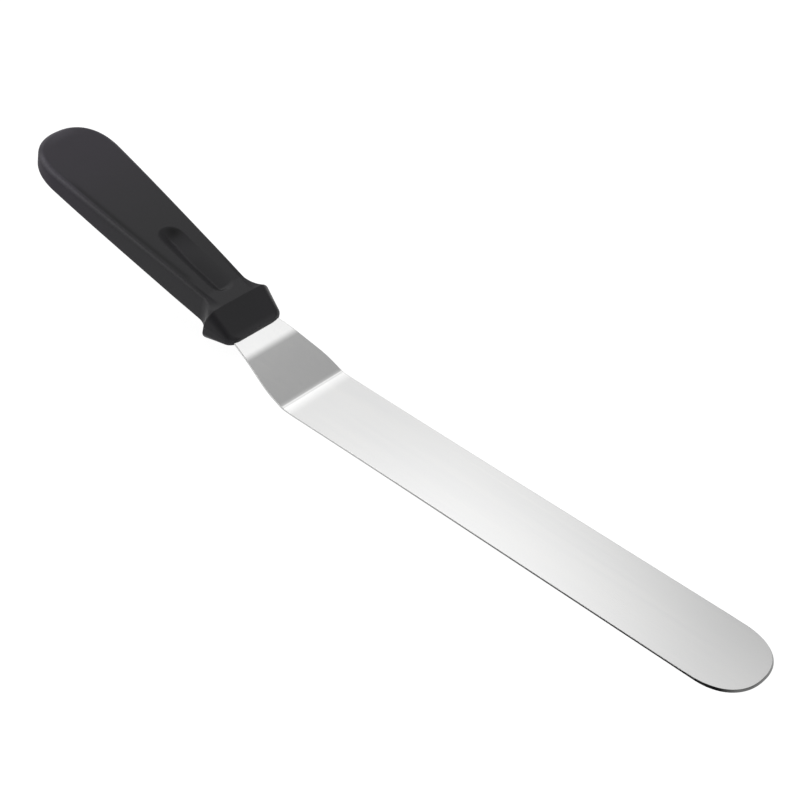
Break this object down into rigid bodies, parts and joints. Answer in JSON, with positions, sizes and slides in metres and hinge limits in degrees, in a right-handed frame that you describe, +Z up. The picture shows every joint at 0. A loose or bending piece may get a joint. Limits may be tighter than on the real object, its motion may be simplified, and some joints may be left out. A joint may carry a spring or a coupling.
{
  "type": "offset spatula",
  "caption": "Offset icing spatula: a flat round-tipped stainless blade stepped down from a moulded black paddle handle with a guard and a thumb recess.",
  "frame": {"origin": "on the underside of the flat blade, on its centre line, half way between the heel bend and the tip", "axes": "+X from the handle to the blade's tip, +Y across the blade, +Z up from the flat blade towards the raised handle"},
  "size_m": [0.3854, 0.0358, 0.0555],
  "materials": {
    "stainless_sheet": "satin sheet, fine lengthwise polish",
    "black_plastic": "satin, fine moulded grain"
  },
  "bodies": {
    "root": {"blade": "stainless_sheet", "handle": "black_plastic"}
  },
  "joints": []
}
